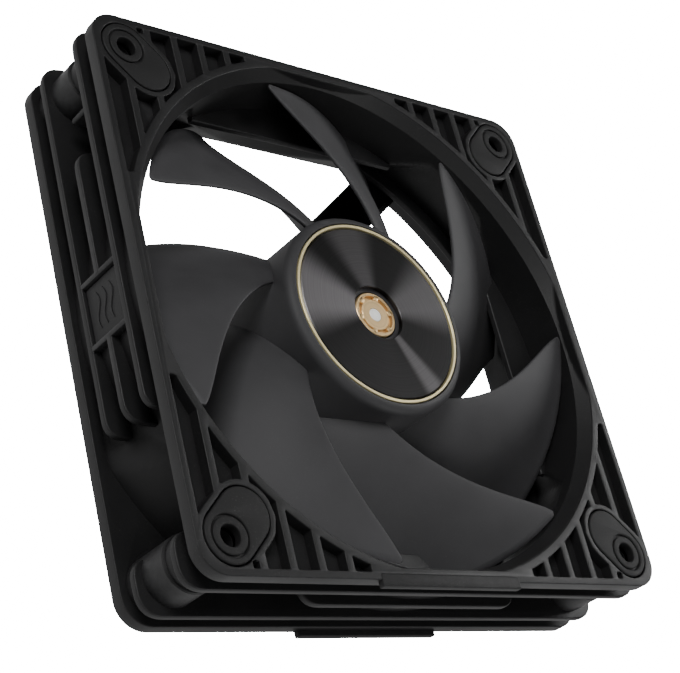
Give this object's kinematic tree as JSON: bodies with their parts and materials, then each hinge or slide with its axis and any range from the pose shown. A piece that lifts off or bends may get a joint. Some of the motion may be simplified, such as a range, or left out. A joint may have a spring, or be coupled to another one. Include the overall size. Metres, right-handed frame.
{
  "type": "case fan",
  "caption": "Square computer case fan with a finned black frame, corner pads, swept blades and a dark metal hub disc with a pale gold ring.",
  "frame": {"origin": "on the rotor's axis at the outlet face, where the rear corner pads rest", "axes": "+Z along the rotor's axis from the outlet side to the intake side; +X and +Y along the frame's sides, with the two edge strips on the -Y side"},
  "size_m": [0.12, 0.1213, 0.028],
  "materials": {
    "frame_plastic": "matt black moulded plastic, slightly brighter on worn edges",
    "blade_plastic": "satin dark grey moulded plastic",
    "pad_rubber": "matt black rubber",
    "motor_steel": "bare stamped steel",
    "magnet_black": "bonded ferrite",
    "dark_disc": "dark metal turned with fine circular grain",
    "gold_trim": "pale gold polished ring",
    "brass": "turned brass",
    "bearing_bronze": "sintered bronze",
    "shaft_steel": "ground steel",
    "insulator_nylon": "natural nylon",
    "coil_copper": "enamelled copper wire",
    "board_laminate": "green solder mask",
    "chip_black": "moulded chip package",
    "capacitor_can": "drawn aluminium can",
    "label_film": "plain black film"
  },
  "bodies": {
    "stator": {"frame": "frame_plastic", "front_pad_1": "pad_rubber", "front_pad_2": "pad_rubber", "front_pad_3": "pad_rubber", "front_pad_4": "pad_rubber", "rear_pad_1": "pad_rubber", "rear_pad_2": "pad_rubber", "rear_pad_3": "pad_rubber", "rear_pad_4": "pad_rubber", "front_edge_strip": "pad_rubber", "rear_edge_strip": "pad_rubber", "side_badge": "frame_plastic", "rear_label": "label_film", "bearing_tube": "brass", "thrust_pad": "insulator_nylon", "sleeve_bearing": "bearing_bronze", "oil_seal": "pad_rubber", "stator_core": "motor_steel", "insulator_lower": "insulator_nylon", "insulator_upper": "insulator_nylon", "stator_coil_1": "coil_copper", "stator_coil_2": "coil_copper", "stator_coil_3": "coil_copper", "stator_coil_4": "coil_copper", "driver_board": "board_laminate", "hall_sensor": "chip_black", "driver_chip": "chip_black", "smoothing_capacitor": "capacitor_can"},
    "rotor": {"impeller": "blade_plastic", "rotor_yoke": "motor_steel", "rotor_magnet": "magnet_black", "hub_disc": "dark_disc", "hub_trim_ring": "gold_trim", "shaft_bush": "brass", "rotor_shaft": "shaft_steel"}
  },
  "joints": [
    {"name": "rotor_spin", "type": "hinge", "parent": "stator", "child": "rotor", "pos_m": [0, 0, 0.015], "axis": [0, 0, 1], "continuous": true}
  ]
}
